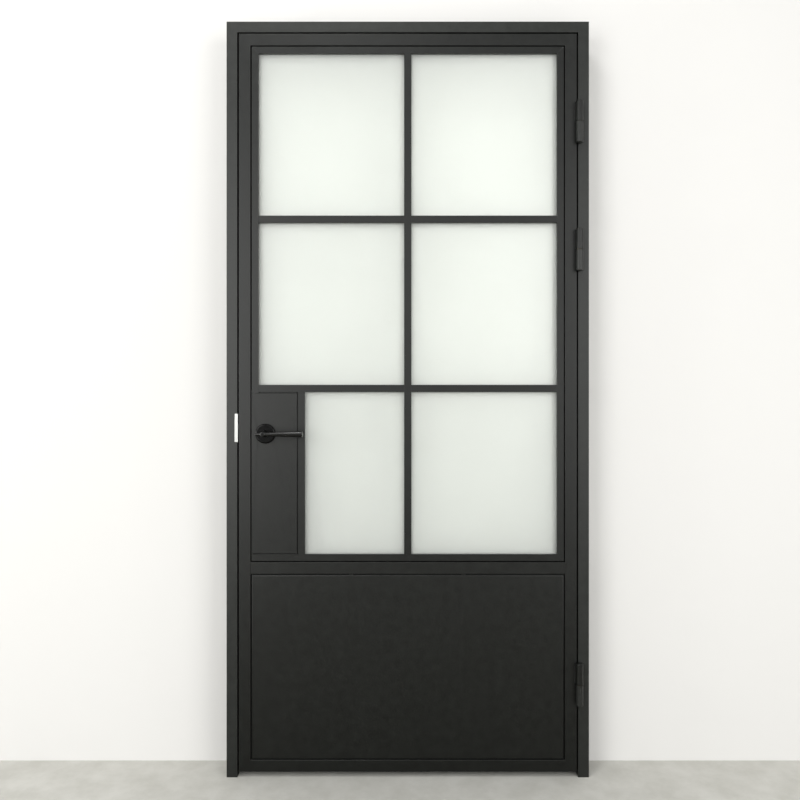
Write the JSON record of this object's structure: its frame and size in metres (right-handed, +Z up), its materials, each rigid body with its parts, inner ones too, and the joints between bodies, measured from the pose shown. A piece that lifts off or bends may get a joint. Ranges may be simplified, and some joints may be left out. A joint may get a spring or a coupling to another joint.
{
  "type": "glazed steel door with frame",
  "caption": "Black steel door leaf with satin-etched glass lights over a sheet panel, hung on barrel hinges in its own frame, with a lever handle and a latch.",
  "frame": {"origin": "floor level under the middle of the frame's width and of the leaf's thickness", "axes": "+Z up along the jambs, +X to the right seen from the front, +Y from the front to the rear of the door"},
  "size_m": [1, 0.142, 2.085],
  "materials": {
    "black_powder_coat": "fine-texture matt black powder coat",
    "etched_glass": "satin-etched float glass with a faint green tint",
    "black_rubber": "matt black rubber",
    "bright_steel": "bright steel",
    "satin_black": "satin black",
    "bearing_brass": "plain brass"
  },
  "bodies": {
    "frame": {"jamb_lock": "black_powder_coat", "jamb_hinge": "black_powder_coat", "head_jamb": "black_powder_coat", "stop_lock": "black_powder_coat", "stop_hinge": "black_powder_coat", "stop_head": "black_powder_coat", "seal_lock": "black_rubber", "seal_hinge": "black_rubber", "seal_head": "black_rubber", "strike_plate": "bright_steel", "strike_screws": "bright_steel", "hinge_top_frame_knuckle": "black_powder_coat", "hinge_middle_frame_knuckle": "black_powder_coat", "hinge_bottom_frame_knuckle": "black_powder_coat", "hinge_pins": "bright_steel", "hinge_washers": "bearing_brass"},
    "leaf": {"stile_lock": "black_powder_coat", "stile_hinge": "black_powder_coat", "rail_top": "black_powder_coat", "rail_middle": "black_powder_coat", "rail_bottom": "black_powder_coat", "grid_left": "black_powder_coat", "grid_right": "black_powder_coat", "grid_top": "black_powder_coat", "grid_bottom": "black_powder_coat", "mullion": "black_powder_coat", "transom_upper": "black_powder_coat", "transom_lower": "black_powder_coat", "lock_mullion": "black_powder_coat", "pane_top_left": "etched_glass", "pane_top_right": "etched_glass", "pane_middle_left": "etched_glass", "pane_middle_right": "etched_glass", "pane_bottom_left": "etched_glass", "pane_bottom_right": "etched_glass", "beads_top_left": "black_powder_coat", "beads_top_right": "black_powder_coat", "beads_middle_left": "black_powder_coat", "beads_middle_right": "black_powder_coat", "beads_bottom_left": "black_powder_coat", "beads_bottom_right": "black_powder_coat", "glazing_tape": "black_rubber", "lock_cover_front": "black_powder_coat", "lock_cover_back": "black_powder_coat", "lock_case": "bright_steel", "forend": "bright_steel", "forend_screws": "bright_steel", "kick_panel_front": "black_powder_coat", "kick_panel_back": "black_powder_coat", "hinge_top_leaf_knuckle": "black_powder_coat", "hinge_middle_leaf_knuckle": "black_powder_coat", "hinge_bottom_leaf_knuckle": "black_powder_coat", "rose_front": "satin_black", "rose_back": "satin_black", "rose_bolts": "bright_steel"},
    "handle": {"lever_front": "satin_black", "lever_back": "satin_black", "spindle": "bright_steel", "follower": "bright_steel"},
    "latch": {"latch_bolt": "bright_steel"}
  },
  "joints": [
    {"name": "leaf_swing", "type": "hinge", "parent": "frame", "child": "leaf", "pos_m": [0.4715, -0.0285, 0], "axis": [0, 0, 1], "range_deg": [0, 170]},
    {"name": "handle_turn", "type": "hinge", "parent": "leaf", "child": "handle", "pos_m": [-0.3925, 0, 0.948], "axis": [0, 1, 0], "range_deg": [0, 45], "stiffness_Nm_per_rad": 1, "springref_deg": -45.84},
    {"name": "latch_slide", "type": "slide", "parent": "leaf", "child": "latch", "axis": [1, 0, 0], "range_m": [0, 0.012]}
  ],
  "couplings": [
    {"joint": "latch_slide", "follows": "handle_turn", "m_per_rad": 0.015279}
  ]
}
